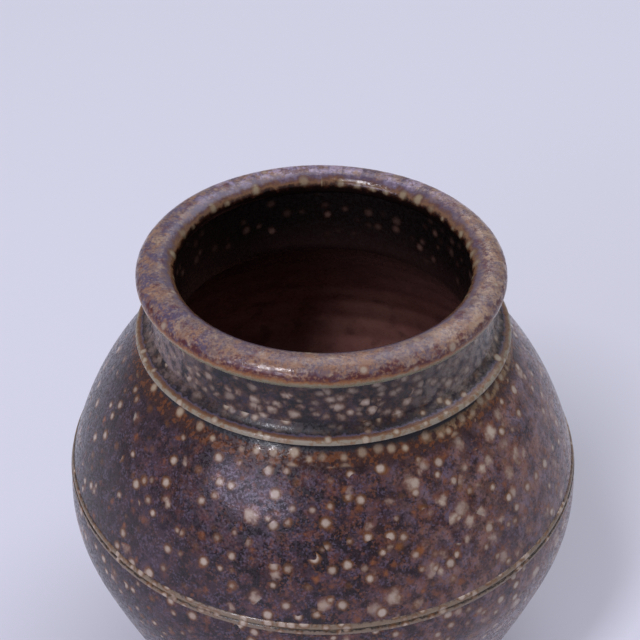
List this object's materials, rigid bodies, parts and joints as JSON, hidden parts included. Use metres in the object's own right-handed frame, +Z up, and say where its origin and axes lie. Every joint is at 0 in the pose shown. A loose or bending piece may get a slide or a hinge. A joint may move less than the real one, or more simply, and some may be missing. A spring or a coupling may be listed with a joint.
{
  "type": "onggi jar",
  "caption": "Small round stoneware jar with a rolled rim, a short hollow neck with a thin ridge at its foot, and a speckled dark iron glaze. Holds dry or pickled food.",
  "frame": {"origin": "on the floor, below the middle of the foot", "axes": "+Z up along the jar's axis, out of the mouth; the jar is round about Z, so X and Y are alike"},
  "size_m": [0.1194, 0.1194, 0.122],
  "materials": {
    "bare_clay": "fired stoneware clay, bare and rough",
    "iron_coat": "glossy purple-brown iron glaze with cream spots in amber halos",
    "rim_coat": "the same glaze, thinner, broken to tan and amber on the roll",
    "breaking_coat": "the same glaze, thin over an edge, where it breaks to cream",
    "liner_coat": "thin red-brown glaze over throwing rings"
  },
  "bodies": {
    "root": {"base_slab": "bare_clay", "corner_coil": "bare_clay", "lower_wall": "bare_clay", "belly_wall": "bare_clay", "belly_band": "bare_clay", "shoulder_wall": "bare_clay", "neck_collar": "bare_clay", "neck_ridge": "bare_clay", "rim_roll": "bare_clay", "rim_glaze": "rim_coat", "neck_glaze": "iron_coat", "ridge_glaze": "breaking_coat", "shoulder_glaze": "iron_coat", "band_glaze": "breaking_coat", "lower_glaze": "iron_coat", "liner_glaze": "liner_coat"}
  },
  "joints": []
}
